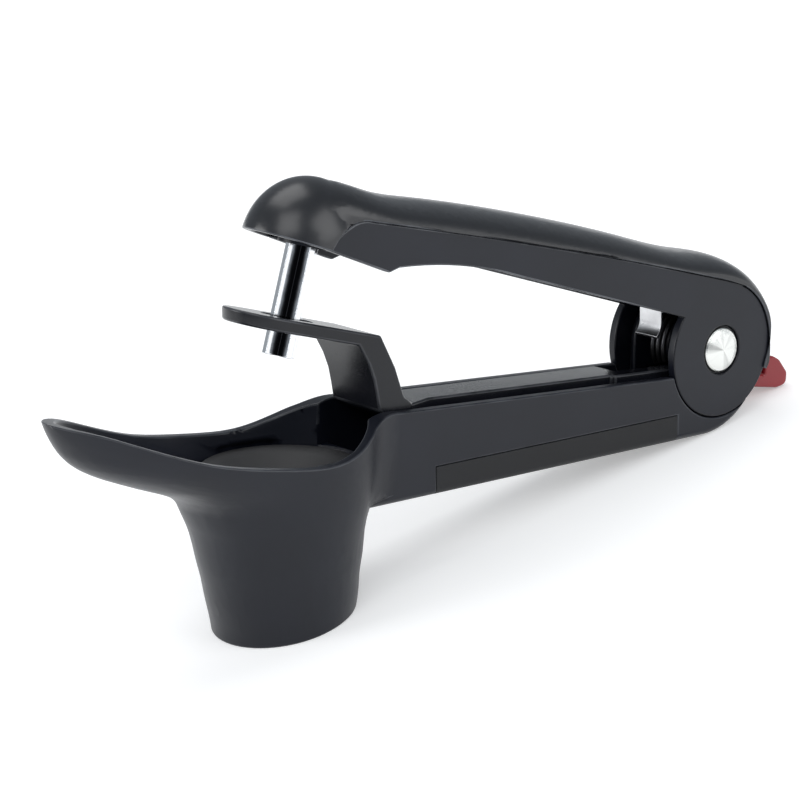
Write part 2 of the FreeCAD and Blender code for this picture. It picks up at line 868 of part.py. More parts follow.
def lever_hollow():
    """The channel under the core's top skin, open below and round the lugs."""
    half = Frame.cheek_inner
    skin = size("lever_skin")
    down = Vector(-0.235, 0, -0.972) * skin
    block = lever_block(half)
    block.translate(down)
    inner_tail = across_disc(size("knuckle_radius") - size("wall"), -half, half)
    below = across_disc(2 * size("knuckle_radius"), -half, half)
    below = below.common(box(size("pivot_x") - 20, TOOL_REACH, -half, half, -50, lever_tail_low()))
    front = box(-30, size("head_x") + 16.0, -half, half, 40, 76.0)
    trimmed = block.cut(
        across_disc(3 * size("knuckle_radius"), -half, half)
        .common(box(size("pivot_x"), TOOL_REACH, -half, half, -50, TOOL_REACH))
    )
    mouth = across_disc(size("knuckle_radius") + skin, -half, half)
    mouth_top = size("pivot_z") + 0.8 * size("knuckle_radius")
    mouth = mouth.common(box(-TOOL_REACH, size("pivot_x"), -half, half, -TOOL_REACH, mouth_top))
    return trimmed.fuse([inner_tail, below, front, mouth, head_room()])


def head_room():
    """The hollow under the dome between the core's two cheeks, with the rod's own way through it."""
    half = Frame.cheek_inner
    dome = head_dome(size("head_wall")).common(box(-TOOL_REACH, TOOL_REACH, -half, half, 0, TOOL_REACH))
    return dome.fuse(rod_solid(size("part_gap")))


def lever_tail_low():
    """Height of the lower end of the lever's tail wall."""
    return on_disc(size("knuckle_radius"), -22.0).z


def upper_lever():
    solid = lever_block(Frame.half_width).cut(lever_hollow())
    recess = across_disc(
        size("pin_recess_radius"), Frame.half_width - size("pin_recess_depth"), TOOL_REACH
    )
    pin_room = across_disc(size("pin_radius"), -TOOL_REACH, TOOL_REACH)
    solid = solid.cut([both_sides(recess), pin_room])
    rib = across_disc(size("knuckle_radius") - 1.0, Frame.latch_near, Frame.latch_near + 3.2)
    rib = rib.cut(across_disc(Frame.latch_inner + 0.4, -TOOL_REACH, TOOL_REACH))
    rib = rib.common(sector(-12.0, 52.0, 0.0, 10.0))
    solid = solid.fuse(rib).cut([latch_screw_shank(), leaf_rivet_solid()])
    return solid_piece(solid.removeSplitter(), "upper_lever")


def sector(low_angle, high_angle, low_y, high_y):
    """A wedge about the hinge between two directions of the tool frame."""
    reach = 2 * size("knuckle_radius")
    middle = on_disc(reach, 0.5 * (low_angle + high_angle))
    corners = [Frame.pivot, on_disc(reach, low_angle), middle, on_disc(reach, high_angle)]
    face = Part.Face(Part.Wire(polygon_edges(corners)))
    face.translate(Vector(0, low_y, 0))
    return face.extrude(Vector(0, high_y - low_y, 0))


def arch_section(base, up_angle, half_width, height):
    """A closed arch over a point of the parting line: short skirt, flat foot and half-ellipse crown."""
    turn = math.radians(up_angle)
    up = Vector(math.cos(turn), 0, math.sin(turn))
    side = Vector(0, 1, 0)
    skirt = up * size("cover_skirt")
    left = base + side * half_width
    right = base - side * half_width
    ellipse = Part.Ellipse(left, base + up * height, base)
    crown = Part.ArcOfEllipse(ellipse, 0, math.pi).toShape()
    edges = [
        crown,
        line(right, right - skirt),
        line(right - skirt, left - skirt),
        line(left - skirt, left),
    ]
    return Part.Wire(Part.__sortEdges__(edges))


def cover_arch():
    """The cover over the handle and round the tail, lofted through arches."""
    side = size("cover_half_width")
    lean_up = 76.6
    tail = size("knuckle_radius") + 0.4
    along = [
        (at(5.0, 84.6), side - 2.6, 5.2),
        (at(12.0, 83.9), side - 0.9, 7.1),
        (at(21.0, 82.1), side - 0.1, 5.9),
        (at(34.0, 79.5), side, 5.6),
        (at(50.0, 75.9), side, 5.9),
        (at(70.0, 71.2), side, 5.8),
        (at(92.0, 65.6), side, 5.3),
        (at(112.0, 60.5), side, 4.8),
    ]
    sections = [arch_section(base, lean_up, half, height) for base, half, height in along]
    for angle, height in ((58.0, 4.1), (36.0, 3.2), (12.0, 2.1), (-12.0, 1.2), (-24.0, 0.8)):
        sections.append(arch_section(on_disc(tail, angle), angle, side - 0.1, height))
    return Part.makeLoft(sections, True)


def head_dome(offset):
    """Upper half of the head's ellipsoid, standing on its rim plane, one offset smaller."""
    ball = Part.makeSphere(1.0)
    stretch = Matrix()
    stretch.scale(
        size("head_length") - offset, size("head_half_width") - offset, size("head_height") - offset
    )
    dome = ball.transformGeometry(stretch)
    above_rim = box(-30, 30, -30, 30, 0.0 if offset == 0 else -1.0, 30)
    dome = dome.common(above_rim)
    dome.Placement = Frame.head
    return dome


def holder_boss():
    """Block under the dome that the punch holder is screwed to."""
    boss = box(
        -0.5 * size("holder_width"), 0.5 * size("holder_width"),
        -0.5 * size("holder_length"), 0.5 * size("holder_length"),
        size("holder_collar") + size("holder_plate"), size("head_height") - 1.0,
    )
    boss.Placement = Frame.rod
    return boss


def upper_cover():
    core = lever_block(2 * Frame.half_width)
    shell = head_dome(0.0).fuse(cover_arch())
    hollow = head_dome(size("head_wall"))
    solid = shell.cut([hollow, core])
    boss = holder_boss().common(head_dome(0.5)).cut(core.cut(head_room()))
    solid = solid.fuse(boss).cut([rod_solid(0.0), holder_screw_shanks()])
    return solid_piece(solid.removeSplitter(), "upper_cover")


# Punch: rod of cross section, its holder and two screws

def rod_solid(clearance):
    half = 0.5 * size("rod_width") + clearance
    flange = 0.5 * size("rod_flange") + clearance
    high = size("rod_socket")
    low = high - size("rod_length")
    cross = box(-half, half, -flange, flange, low, high).fuse(box(-flange, flange, -half, half, low, high))
    cross = cross.removeSplitter()
    cross.Placement = Frame.rod
    return cross


def punch_rod():
    """Rod of plus-shaped section with a bevelled foot, in the rod's own frame."""
    body = new_body("punch_rod")
    half = cell("rod_width") * 0.5
    flange = cell("rod_flange") * 0.5
    corners = [
        (half, -flange), (half, flange), (flange, flange), (flange, half),
        (-flange, half), (-flange, flange), (-half, flange), (-half, -flange),
        (-flange, -flange), (-flange, -half), (flange, -half), (flange, -flange),
    ]
    high = cell("rod_socket")
    pad_outline(body, corners, high - cell("rod_length"), high)
    return add_piece(body, "punch_rod", Frame.rod)


def punch_holder():
    plate_low = size("holder_collar")
    plate_high = plate_low + size("holder_plate")
    plate = box(
        -0.5 * size("holder_width"), 0.5 * size("holder_width"),
        -0.5 * size("holder_length"), 0.5 * size("holder_length"), plate_low, plate_high,
    )
    upright = [edge for edge in plate.Edges if abs(edge.Vertexes[0].Z - edge.Vertexes[-1].Z) > 1.0]
    plate = plate.makeFillet(0.25 * size("holder_width"), upright)
    collar = Part.makeCylinder(size("holder_collar_radius"), plate_low)
    solid = plate.fuse(collar)
    solid.Placement = Frame.rod
    solid = solid.cut([rod_solid(0.0), holder_screw_shanks()])
    return solid_piece(solid.removeSplitter(), "punch_holder")


def screw(head_low):
    """A small screw along Z: its head hangs from head_low and its shank goes up."""
    head = Part.makeCylinder(size("screw_head_radius"), size("screw_head"), Vector(0, 0, head_low))
    head = head.makeFillet(0.3, [edge for edge in head.Edges if abs(edge.BoundBox.ZMax - head_low) < 0.01])
    shank = Part.makeCylinder(
        size("screw_radius"), size("screw_length"), Vector(0, 0, head_low + size("screw_head"))
    )
    return head.fuse(shank)


def holder_screws():
    low = size("holder_collar") - size("screw_head")
    screws = []
    for side in (-1, 1):
        one = screw(low)
        one.translate(Vector(0, side * 0.5 * size("holder_screw_pitch"), 0))
        one.Placement = Frame.rod.multiply(one.Placement)
        screws.append(one)
    return screws


def holder_screw_shanks():
    first, second = holder_screws()
    return first.fuse(second)


def punch_screws():
    return solid_piece(Part.makeCompound(holder_screws()), "punch_screws")


# Hold-down arm

def arm_side():
    """Side outline of the arm's plate, leg and bar, from its tip to the hinge."""
    plate = size("arm_plate")
    bar = size("arm_bar")
    tip = at(-13.9, 68.2)
    corner = at(20.6, 58.5)
    slope = math.atan2(tip.z - corner.z, corner.x - tip.x)
    down = Vector(-math.sin(slope), 0, -math.cos(slope)) * plate
    inner_corner = at(15.6, corner.z + (corner.x - 15.6) * math.tan(slope)) + down
    bar_front = at(29.0, 42.6)
    bar_back = at(size("pivot_x") - 0.8 * size("arm_knuckle_radius"), 37.4)
    under = Vector(0, 0, -bar)
    points = [
        tip, corner, at(24.3, 51.2), at(26.6, 44.6), bar_front, bar_back,
        bar_back + under, at(29.0, 42.6) + under, at(22.0, 40.8), at(19.9, 42.4),
        at(19.3, 46.1), at(18.6, 49.4), at(17.3, 52.8), inner_corner, tip + down,
    ]
    return extrude_profile(polygon_edges(points), size("arm_half_width"))


def arm_plan():
    """Plan of the arm: round front, full width to the leg, a narrower bar and the hinge strap."""
    wide = size("arm_half_width")
    narrow = size("arm_bar_half_width")
    front = -3.6
    tip = Part.makeCylinder(wide, 80.0, Vector(front, 0, 10.0))
    plate = box(front, 28.0, -wide, wide, 10.0, 90.0)
    taper_points = [
        Vector(28.0, -wide, 10.0), Vector(28.0, wide, 10.0),
        Vector(36.0, narrow, 10.0), Vector(36.0, -narrow, 10.0),
    ]
    taper = Part.Face(Part.Wire(polygon_edges(taper_points))).extrude(Vector(0, 0, 80.0))
    bar = box(35.9, 94.0, -narrow, narrow, 10.0, 90.0)
    strap = box(90.0, size("pivot_x"), -size("arm_side"), -size("arm_inner"), 10.0, 90.0)
    return tip.fuse([plate, taper, bar, strap])


def hold_down_arm():
    solid = arm_side().common(arm_plan())
    knuckle = across_disc(size("arm_knuckle_radius"), -size("arm_side"), -size("arm_inner"))
    solid = solid.fuse(knuckle)
    bore = across_disc(size("pin_radius"), -TOOL_REACH, TOOL_REACH)
    half = 0.5 * size("arm_slot_width")
    middle = 0.5 * size("arm_slot_length") - half
    slot = Part.makeCylinder(half, 40.0, Vector(-middle, 0, -25.0))
    slot = slot.fuse(Part.makeCylinder(half, 40.0, Vector(middle, 0, -25.0)))
    slot = slot.fuse(box(-middle, middle, -half, half, -25.0, 15.0))
    slot.Placement = Placement(Vector(2.6, 0, 64.4), Rotation(Vector(0, 1, 0), size("rod_lean")))
    return solid_piece(solid.cut([bore, slot]).removeSplitter(), "hold_down_arm")


# Leaf that hangs under the lever's skin, with its foot curled forward over the arm's bar

def skin_under(x):
    """Height of the underside of the lever's top skin at x, over the straight part of the handle."""
    edges = lever_parting()[0]
    probe = line(at(x, 0), at(x, TOOL_REACH))
    top = edges[-1].distToShape(probe)[1][0][0]
    return top.z - size("lever_skin") * 1.03


def leaf_frame():
    """Corner of the leaf under the skin, the way along the skin towards the head, and the way down."""
    thick = size("leaf_thickness")
    corner = at(size("leaf_x"), skin_under(size("leaf_x") + thick) - size("running_gap"))
    further = size("leaf_x") - size("leaf_flange")
    ahead = (at(further, skin_under(further) - size("running_gap")) - corner).normalize()
    return corner, ahead, Vector(-ahead.z, 0, ahead.x)


def press_leaf():
    thick = size("leaf_thickness")
    corner, ahead, down = leaf_frame()
    curl = size("leaf_curl")
    foot = at(size("leaf_x"), size("leaf_foot_z") + curl)
    bend = foot - Vector(curl, 0, 0)

    def on_curl(radius, angle):
        swing = math.radians(angle)
        return bend + Vector(radius * math.cos(swing), 0, -radius * math.sin(swing))

    flange = corner + ahead * size("leaf_flange")
    back = Vector(thick, 0, 0)
    edges = [
        line(flange, corner + back),
        line(corner + back, foot + back),
        arc(foot + back, on_curl(curl + thick, 25), on_curl(curl + thick, 50)),
        line(on_curl(curl + thick, 50), on_curl(curl, 50)),
        arc(on_curl(curl, 50), on_curl(curl, 25), foot),
        line(foot, corner + down * thick),
        line(corner + down * thick, flange + down * thick),
        line(flange + down * thick, flange),
    ]
    blade = extrude_profile(edges, 0.5 * size("leaf_width"))
    blade.translate(Vector(0, size("leaf_shift"), 0))
    return solid_piece(blade.cut(leaf_rivet_solid()), "press_leaf")


def leaf_rivet_solid():
    corner, ahead, down = leaf_frame()
    middle = corner + ahead * (0.55 * size("leaf_flange")) + Vector(0, size("leaf_shift"), 0)
    radius = size("leaf_rivet_radius")
    under = middle + down * size("leaf_thickness")
    shank = Part.makeCylinder(radius, size("leaf_thickness") + 1.2, under, down * -1)
    head = Part.makeCylinder(size("leaf_rivet_head"), 0.7, under, down)
    return shank.fuse(head)


def leaf_rivet():
    return solid_piece(leaf_rivet_solid(), "leaf_rivet")


# Lock: slider, its keeper and screws, and the latch plate in the lever

def lock_slider():
    """Red thumb tab on a flat shank. The shank's fork straddles the latch and its web catches it."""
    body = new_body("lock_slider")
    low = -cell("slider_below")
    high = low + cell("slider_thickness")
    half = cell("slider_half_width")
    # sketch x runs outwards and sketch y up, in the slider's own frame
    tab = [
        (-cell("slider_inner"), low), (10.2, low), (12.6, low + 0.75), (13.4, low + 1.7), (13.1, 2.2),
        (9.6, 5.2), (7.0, 6.0), (5.4, 5.6), (4.9, 4.6), (4.9, high), (-cell("slider_inner"), high),
    ]
    sketch = new_sketch(body, "XZ_Plane")
    draw_polygon(sketch, tab)
    pad = body.newObject("PartDesign::Pad", "slider_tab")
    pad.Profile = sketch
    pad.Midplane = True
    pad.setExpression("Length", (half * 2.0).text)
    doc.recompute()
    before = body.Shape.Volume
    window = new_sketch(body, "XY_Plane")
    slot = cell("latch_slot")
    window_back = cell("window_back")
    draw_polygon(window, [
        (-cell("slider_inner") - 1.0, -slot), (window_back, -slot),
        (window_back, slot), (-cell("slider_inner") - 1.0, slot),
    ])
    cut = body.newObject("PartDesign::Pocket", "slider_window")
    cut.Profile = window
    cut.Type = "ThroughAll"
    cut.Midplane = True
    doc.recompute()
    if body.Shape.Volume >= before:
        raise RuntimeError("the slider's window cuts nothing")
    reach = -cell("nose_reach")
    web = [(reach, -slot), (window_back, -slot), (window_back, slot), (reach, slot)]
    nose = cell("nose_thickness") * 0.5
    pad_outline(body, web, -nose, nose)
    return add_piece(body, "lock_slider", Frame.slider)


def keeper_centre():
    return 0.7 - size("slider_inner")


def keeper_top():
    return size("slider_thickness") - size("slider_below") + size("slider_fit")


def slider_keeper():
    """Small plate over the slider's shank, slotted for the latch, with a screw at each end."""
    body = new_body("slider_keeper")
    top = cell("slider_thickness") - cell("slider_below") + cell("slider_fit")
    middle = -cell("slider_inner") + 0.7
    half_length = cell("keeper_length") * 0.5
    side = cell("half_width") - cell("cheek") - cell("washer") - cell("running_gap") * 2
    slot = cell("latch_slot") + cell("part_gap")
    bridge = cell("keeper_bridge")
    corners = [
        (middle - half_length, -side), (middle + half_length, -side),
        (middle + half_length, side), (middle - half_length, side),
        (middle - half_length, slot), (middle + half_length - bridge, slot),
        (middle + half_length - bridge, -slot), (middle - half_length, -slot),
    ]
    pad_outline(body, corners, top, top + cell("keeper_thickness"))
    screw_y = side - cell("keeper_screw_inset")
    pocket_circles(body, [
        (middle, screw_y, cell("screw_radius")),
        (middle, -screw_y, cell("screw_radius")),
    ])
    return add_piece(body, "slider_keeper", Frame.slider)


def keeper_screw_solids():
    top = keeper_top() + size("keeper_thickness")
    screws = []
    for side in (-1, 1):
        head = Part.makeCylinder(size("screw_head_radius") - 0.2, size("screw_head"), Vector(0, 0, top))
        shank = Part.makeCylinder(size("screw_radius"), 3.6, Vector(0, 0, top - 3.6))
        one = head.fuse(shank)
        one.translate(Vector(keeper_centre(), side * (Frame.lug_outer - size("keeper_screw_inset")), 0))
        one.Placement = Frame.slider.multiply(one.Placement)
        screws.append(one)
    return screws


def keeper_screw_shanks():
    first, second = keeper_screw_solids()
    return first.fuse(second)


def keeper_screws():
    return solid_piece(Part.makeCompound(keeper_screw_solids()), "keeper_screws")


Frame.latch_near = size("latch_half_width")


def nose_envelope(clearance):
    """Room of the slider's web when it is pushed in, grown by a clearance."""
    travel = size("slider_travel")
    half = 0.5 * size("nose_thickness") + clearance
    return slider_box(-size("nose_reach") - travel - clearance, 6.0, Frame.half_width, -half, half)


def latch_plate():
    """Steel plate in the lever's tail. Its tooth passes over the slider's web when the lever is shut."""
    half = size("latch_half_width")
    ring = across_disc(Frame.latch_outer, -half, half)
    ring = ring.cut(across_disc(Frame.latch_inner, -TOOL_REACH, TOOL_REACH))
    plate = ring.common(sector(-58.0, 50.0, -half, half))
    clearance = size("part_gap")
    web_top = 0.5 * size("nose_thickness") + 0.5 * clearance
    shut_room = slider_box(-30.0, 6.0, Frame.half_width, -30.0, web_top)
    shut_room = closing_turn(shut_room, -size("close_angle"))
    # the web's room at rest, when the lever is open and the slider is pushed in
    plate = plate.cut([nose_envelope(clearance), shut_room, latch_screw_shank()])
    largest = max(plate.Solids, key=lambda solid: solid.Volume)
    return solid_piece(largest, "latch_plate")


def latch_screw_solid():
    centre = on_disc(0.5 * (Frame.latch_inner + Frame.latch_outer) + 0.1, 26.0)
    half = size("latch_half_width")
    head = across_disc(size("screw_head_radius"), -half - size("screw_head"), -half, centre)
    shank = across_disc(size("screw_radius"), -half, half + 2.6, centre)
    return head.fuse(shank)


def latch_screw_shank():
    return latch_screw_solid()


def latch_screw():
    return solid_piece(latch_screw_solid(), "latch_screw")


MAKERS = [
    lower_handle, lower_grip, cherry_seat,
    hinge_pin, hinge_cap, hinge_washers, spring_bush, return_spring,
    slider_keeper, keeper_screws, lock_slider,
    upper_lever, upper_cover, punch_rod, punch_holder, punch_screws, latch_plate, latch_screw,
    press_leaf, leaf_rivet, hold_down_arm,
]

for maker in MAKERS:
    maker()
doc.recompute()

for item in doc.Objects:
    if "Invalid" in item.State or "Error" in item.State:
        raise RuntimeError(f"{item.Label} failed: {item.State}")
for piece in PIECES:
    shape = piece.Shape
    if shape.isNull() or not shape.isValid() or not shape.Solids:
        raise RuntimeError(f"{piece.Label} has no valid solid")
    print(f"{piece.Label}: {len(shape.Solids)} solid, {shape.Volume:.1f} mm3")
for piece in PIECES:
    piece.Shape.exportStep(f"parts/{piece.Label}.step")
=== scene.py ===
import bmesh
import bpy
import json
import math
from mathutils import Matrix, Vector


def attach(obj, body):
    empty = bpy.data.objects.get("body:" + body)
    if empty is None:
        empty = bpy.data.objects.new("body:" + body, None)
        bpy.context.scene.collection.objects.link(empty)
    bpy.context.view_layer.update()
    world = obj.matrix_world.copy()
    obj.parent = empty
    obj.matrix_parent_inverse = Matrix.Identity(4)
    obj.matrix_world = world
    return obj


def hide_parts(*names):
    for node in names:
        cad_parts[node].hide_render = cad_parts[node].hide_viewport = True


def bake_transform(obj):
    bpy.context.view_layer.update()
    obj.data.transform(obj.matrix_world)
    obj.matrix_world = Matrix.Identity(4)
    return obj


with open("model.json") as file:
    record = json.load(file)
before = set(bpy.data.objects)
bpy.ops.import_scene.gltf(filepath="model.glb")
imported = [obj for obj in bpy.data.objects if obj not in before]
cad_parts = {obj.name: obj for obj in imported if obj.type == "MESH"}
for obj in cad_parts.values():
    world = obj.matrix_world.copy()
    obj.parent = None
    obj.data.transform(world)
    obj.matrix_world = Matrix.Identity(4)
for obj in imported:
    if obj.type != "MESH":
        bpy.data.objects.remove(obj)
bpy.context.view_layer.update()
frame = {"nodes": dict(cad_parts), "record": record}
nodes = frame["nodes"]
bodyOf = {node: body for body, members in frame["record"]["behaviour"]["bodies"].items() for node in members}
mm = 0.001

# the tool was drawn with its cup upright and then leant about Y by this angle, so that it stands by itself
hinge = {"pivot": (120.3, 41.3), "tailCentre": (115.6, 40.8), "tailRadius": 19.6}
leanAngle = (math.atan2(hinge["tailCentre"][1], hinge["tailCentre"][0])
             - math.asin(hinge["tailRadius"] / math.hypot(*hinge["tailCentre"])))
lean = Matrix.Rotation(leanAngle, 4, "Y")
upright = lean.inverted()


def place(x, y, z):  # millimetres in the upright tool
    return lean @ Vector((x * mm, y * mm, z * mm))


def way(x, y, z):
    return (lean.to_3x3() @ Vector((x, y, z))).normalized()


pivot = place(hinge["pivot"][0], 0, hinge["pivot"][1])
print("stage: frame loaded,", len(nodes), "nodes")


class Wire:
    def __init__(self, shader, socket):
        self.shader = shader
        self.socket = socket

    def combine(self, operation, first, second):
        return self.shader.node("ShaderNodeMath", {"operation": operation}, first, second)

    def __add__(self, other):
        return self.combine("ADD", self, other)

    def __radd__(self, other):
        return self.combine("ADD", other, self)

    def __sub__(self, other):
        return self.combine("SUBTRACT", self, other)

    def __rsub__(self, other):
        return self.combine("SUBTRACT", other, self)

    def __mul__(self, other):
        return self.combine("MULTIPLY", self, other)

    def __rmul__(self, other):
        return self.combine("MULTIPLY", other, self)


class Shader:
    def __init__(self, owner, outputKind="ShaderNodeOutputMaterial"):
        owner.use_nodes = True
        self.owner = owner
        self.tree = owner.node_tree
        self.tree.nodes.clear()
        self.output = self.tree.nodes.new(outputKind)

    def node(self, kind, settings, *values, out=0, **named):
        made = self.tree.nodes.new(kind)
        for name, value in settings.items():
            if name == "stops":
                ramp = made.color_ramp
                while len(ramp.elements) < len(value):
                    ramp.elements.new(0.5)
                for element, (position, tone) in zip(ramp.elements, value):
                    element.position = position
                    element.color = rgb(tone, tone, tone)
            else:
                setattr(made, name, value)
        for key, value in list(enumerate(values)) + list(named.items()):
            if value is None:
                continue
            socket = made.inputs[key.replace("_", " ") if isinstance(key, str) else key]
            if isinstance(value, Wire):
                self.tree.links.new(value.socket, socket)
            else:
                socket.default_value = value
        return Wire(self, made.outputs[out])

    def objectSpot(self):
        return self.node("ShaderNodeTexCoord", {}, out="Object")

    def stretched(self, scale, turn=(0, 0, 0)):
        return self.node("ShaderNodeMapping", {"vector_type": "TEXTURE"}, self.objectSpot(),
                         Scale=scale, Rotation=turn)

    def noise(self, where, scale, detail, roughness=0.5):
        return self.node("ShaderNodeTexNoise", {}, Vector=where, Scale=scale, Detail=detail,
                         Roughness=roughness)

    def ramp(self, value, *stops):
        return self.node("ShaderNodeValToRGB", {"stops": stops}, value)

    def mix(self, factor, first, second):
        # a Mix node's own sockets for colours are its seventh and eighth
        return self.node("ShaderNodeMix", {"data_type": "RGBA"}, factor, None, None, None, None, None,
                         first, second, out=2)

    def bump(self, height, strength, distance):
        return self.node("ShaderNodeBump", {}, Strength=strength, Distance=distance, Height=height)

    def vector(self, operation, *values, out=0):
        return self.node("ShaderNodeVectorMath", {"operation": operation}, *values, out=out)

    def length(self, value):
        return self.vector("LENGTH", value, out="Value")

    def fromAxis(self, centre):
        # from an axis that runs across the tool through the centre
        return self.vector("MULTIPLY", self.vector("SUBTRACT", self.objectSpot(), tuple(centre)), (1, 0, 1))

    def show(self, surface):
        self.tree.links.new(surface.socket, self.output.inputs["Surface"])

    def finished(self, **values):
        self.show(self.node("ShaderNodeBsdfPrincipled", {}, **values))
        return self.owner


def rgb(red, green, blue):
    return (red, green, blue, 1)


plastics = {
    "satin": {"dark": rgb(0.0048, 0.0060, 0.0112), "light": rgb(0.0076, 0.0092, 0.0158), "rough": 0.36,
              "grain": 0.05, "mottleScale": 1.0},
    "arm": {"dark": rgb(0.0050, 0.0056, 0.0085), "light": rgb(0.0080, 0.0088, 0.0122), "rough": 0.25,
            "grain": 0.03, "mottleScale": 1.0},
    "grip": {"dark": rgb(0.0045, 0.0048, 0.0062), "light": rgb(0.0075, 0.0080, 0.0098), "rough": 0.50,
             "grain": 0.12, "mottleScale": 1.0},
    # the Edge looks below are painted highlights: much lighter colours for the faces of the rounded edges,
    # standing in for bright edge lines
    "satinEdgeHighlight": {"dark": rgb(0.016, 0.018, 0.024), "light": rgb(0.050, 0.053, 0.062), "rough": 0.30,
                  "grain": 0.04, "mottleScale": 2.2},
    "leverEdgeHighlight": {"dark": rgb(0.040, 0.043, 0.050), "light": rgb(0.150, 0.155, 0.170), "rough": 0.28,
                  "grain": 0.04, "mottleScale": 2.2},
    "coverEdgeHighlight": {"dark": rgb(0.030, 0.033, 0.040), "light": rgb(0.120, 0.126, 0.140), "rough": 0.26,
                  "grain": 0.03, "mottleScale": 2.2},
    "armEdgeHighlight": {"dark": rgb(0.014, 0.015, 0.018), "light": rgb(0.060, 0.062, 0.070), "rough": 0.22,
                "grain": 0.03, "mottleScale": 2.2},
}


def mouldedPlastic(name, look, recess=None, highlightFadeNear=None):
    shader = Shader(bpy.data.materials.new(name))
    where = shader.objectSpot()
    broad = shader.noise(where, scale=55.0 * look["mottleScale"], detail=3.0)
    grain = shader.noise(where, scale=5200.0, detail=2.0, roughness=0.6)
    pits = shader.noise(where, scale=1500.0, detail=2.0)
    tone = shader.mix(shader.ramp(broad, (0.35, 0.0), (0.68, 1.0)), look["dark"], look["light"])
    rough = look["rough"] + (broad - 0.5) * 0.12 + (grain - 0.5) * 0.10
    if highlightFadeNear:
        # the painted edge highlight fades out towards the hinge, where the edges lie against other parts,
        # down to the plain plastic's dark tone
        centre, inner, outer = highlightFadeNear
        radius = shader.length(shader.fromAxis(centre))
        highlightShown = shader.ramp((radius - inner) * (1 / (outer - inner)), (0.0, 0.0), (1.0, 1.0))
        tone = shader.mix(highlightShown, rgb(0.006, 0.007, 0.011), tone)
    if recess:
        # painted shade in the ring round the pin's head, which is also made rougher
        centre, inner, outer = recess
        radius = shader.length(shader.fromAxis(centre))
        recessShadeMask = shader.ramp((radius - inner) * (1 / (outer - inner)), (0.0, 1.0), (0.70, 1.0), (1.0, 0.0))
        tone = shader.mix(recessShadeMask, tone, rgb(0.0012, 0.0012, 0.0014))
        rough = rough + recessShadeMask * 0.35
    relief = shader.bump(grain * 0.7 + pits * 0.3, strength=look["grain"] * 4, distance=0.06 * mm)
    return shader.finished(Base_Color=tone, Roughness=rough, Specular_IOR_Level=0.36, Normal=relief)


satin = mouldedPlastic("satinBlackPlastic", plastics["satin"])
leverLook = mouldedPlastic("leverSatinPlastic", plastics["satin"], recess=(pivot, 5.0 * mm, 6.05 * mm))
armLook = mouldedPlastic("armPlastic", plastics["arm"])
# materials for the rounded edges, lighter than the plastic beside them: painted edge highlights
satinEdgeHighlight = mouldedPlastic("satinPlasticEdgeHighlight", plastics["satinEdgeHighlight"])
leverEdgeHighlight = mouldedPlastic("leverPlasticEdgeHighlight", plastics["leverEdgeHighlight"], highlightFadeNear=(pivot, 22 * mm, 34 * mm))
coverEdgeHighlight = mouldedPlastic("coverPlasticEdgeHighlight", plastics["coverEdgeHighlight"])
armEdgeHighlight = mouldedPlastic("armPlasticEdgeHighlight", plastics["armEdgeHighlight"])
gripLook = mouldedPlastic("gripPlastic", plastics["grip"])

glossy = {
    "cover": {"name": "glossBlackPlastic", "colour": rgb(0.0058, 0.0066, 0.0100),
              "deep": rgb(0.0034, 0.0039, 0.0060), "rough": 0.32, "clear": 0.28},
    "tab": {"name": "burgundyPlastic", "colour": rgb(0.35, 0.013, 0.021),
            "deep": rgb(0.23, 0.008, 0.013), "rough": 0.36, "clear": 0.12},
}


def glossPlastic(look):
    shader = Shader(bpy.data.materials.new(look["name"]))
    where = shader.objectSpot()
    broad = shader.noise(where, scale=34.0, detail=2.0)
    peel = shader.noise(where, scale=420.0, detail=2.0)
    hair = shader.noise(shader.stretched((1, 0.02, 0.3), turn=(0, 0.3, 0.2)), scale=900.0, detail=2.0)
    scuffs = shader.ramp(hair, (0.60, 0.0), (0.78, 1.0))
    return shader.finished(Base_Color=shader.mix(broad, look["deep"], look["colour"]),
                           Roughness=look["rough"] + scuffs * 0.06 + (broad - 0.5) * 0.05,
                           Coat_Weight=look["clear"], Coat_Roughness=0.24,
                           Normal=shader.bump(peel, strength=0.05, distance=0.08 * mm))


gloss = glossPlastic(glossy["cover"])
burgundy = glossPlastic(glossy["tab"])

pinHead = {"pitch": 0.16 * mm, "dark": rgb(0.20, 0.20, 0.20), "light": rgb(0.86, 0.87, 0.84), "rough": 0.18}


def turnedSteel(name, centre, look):
    shader = Shader(bpy.data.materials.new(name))
    flat = shader.fromAxis(centre)
    radius = shader.length(flat)
    rings = shader.node("ShaderNodeMath", {"operation": "SINE"}, radius * (2 * math.pi / look["pitch"]))
    uneven = shader.node("ShaderNodeTexNoise", {"noise_dimensions": "1D"}, W=radius * 9000.0, Detail=4.0)
    # painted reflection: the head's colour runs from dark to light in broad sectors round the pin, standing
    # in for the turned head's conic highlight and its dark streak
    spokes = shader.noise(shader.vector("NORMALIZE", flat), scale=1.15, detail=2.0)
    paintedSectorHighlight = shader.ramp(spokes, (0.30, 0.0), (0.40, 0.6), (0.52, 1.0))
    cloud = shader.noise(shader.objectSpot(), scale=300.0, detail=3.0)
    return shader.finished(Base_Color=shader.mix(paintedSectorHighlight, look["dark"], look["light"]), Metallic=1.0,
                           Roughness=look["rough"] + cloud * 0.10,
                           Normal=shader.bump(rings * 0.5 + uneven, strength=0.35, distance=0.03 * mm))


pinSteel = turnedSteel("turnedPinSteel", pivot, pinHead)

# the rod's top and lean in the upright tool, and the width of one arm of its cross
rod = {"top": (6.6, 0.0, 77.95), "lean": 16.6, "flange": 1.4,
       "dark": rgb(0.035, 0.035, 0.04), "light": rgb(0.86, 0.87, 0.89), "rough": 0.07}
rodLean = math.radians(rod["lean"])
rodWay = way(math.sin(rodLean), 0, math.cos(rodLean))


